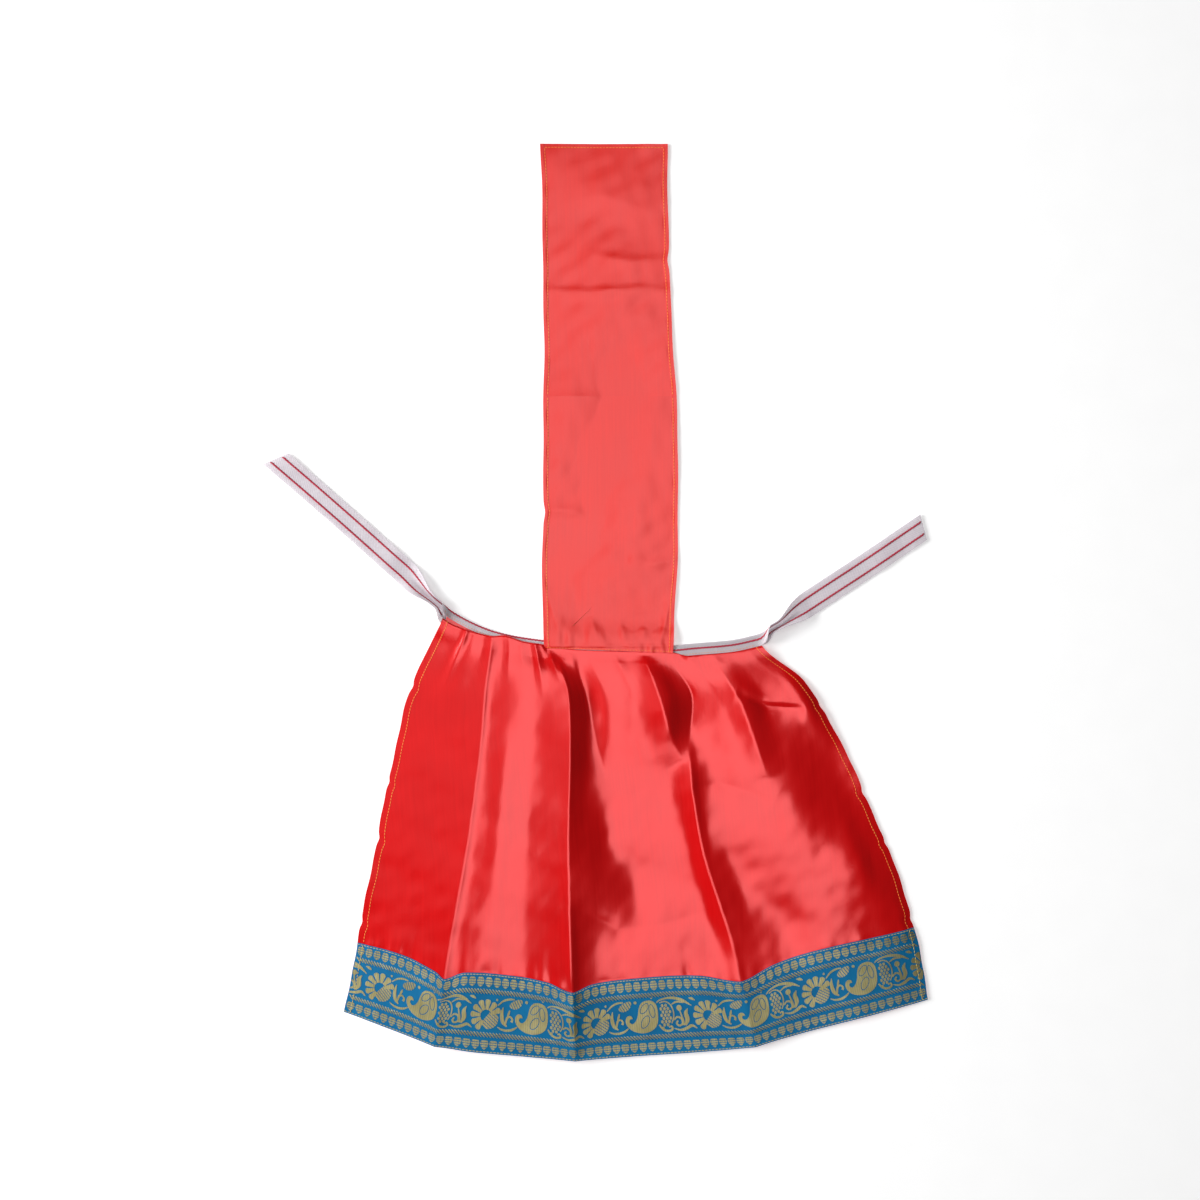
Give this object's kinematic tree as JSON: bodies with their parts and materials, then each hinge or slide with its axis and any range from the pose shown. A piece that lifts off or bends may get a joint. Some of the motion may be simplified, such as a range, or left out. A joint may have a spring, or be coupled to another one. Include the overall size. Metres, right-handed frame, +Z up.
{
  "type": "costume drape",
  "caption": "Fancy-dress drape laid flat: gathered satin skirt panel with woven border, long shoulder sash and waist tape ties.",
  "frame": {"origin": "centre of the laid-out drape's outline, on the table", "axes": "+X across the drape, to the right as it lies face up with its sash at the top, +Y from the hem to the sash's free end, +Z up from the table, out of the cloth's face"},
  "size_m": [0.6604, 0.9114, 0.0198],
  "materials": {
    "satin": "glossy red satin weave",
    "brocade": "blue ribbon with gold thread pattern",
    "cotton_tape": "matte white twill tape with two red yarns",
    "orange_thread": "orange sewing thread",
    "gold_thread": "yellow-gold sewing thread"
  },
  "bodies": {
    "skirt": {"skirt_panel": "satin", "hem_border": "brocade", "skirt_left_stitching": "orange_thread", "skirt_right_stitching": "orange_thread", "border_upper_stitching": "gold_thread", "border_lower_stitching": "gold_thread", "waist_tape": "cotton_tape", "waist_left_stitching": "orange_thread", "waist_right_stitching": "orange_thread", "gathering_thread": "orange_thread", "sash_seam_lap": "satin", "sash_seam_stitching": "orange_thread"},
    "sash_lower": {"sash_lower": "satin", "sash_lower_left_stitching": "orange_thread", "sash_lower_right_stitching": "orange_thread"},
    "sash_upper": {"sash_upper": "satin", "sash_upper_left_stitching": "orange_thread", "sash_upper_right_stitching": "orange_thread", "sash_end_stitching": "orange_thread"},
    "left_tie": {"left_tie": "cotton_tape"},
    "right_tie": {"right_tie": "cotton_tape"}
  },
  "joints": [
    {"name": "sash_fold", "type": "hinge", "parent": "skirt", "child": "sash_lower", "pos_m": [0.00913, -0.04625, 0.0055], "axis": [1, 0, 0], "range_deg": [0, 160]},
    {"name": "sash_end_fold", "type": "hinge", "parent": "sash_lower", "child": "sash_upper", "pos_m": [0.00559, 0.30925, 0.002], "axis": [1, 0, 0], "range_deg": [0, 170]},
    {"name": "left_tie_swing", "type": "hinge", "parent": "skirt", "child": "left_tie", "pos_m": [-0.16447, -0.00549, 0], "axis": [0, 0, 1], "range_deg": [-50, 60]},
    {"name": "right_tie_swing", "type": "hinge", "parent": "skirt", "child": "right_tie", "pos_m": [0.1674, -0.03431, 0], "axis": [0, 0, 1], "range_deg": [-50, 45]}
  ]
}
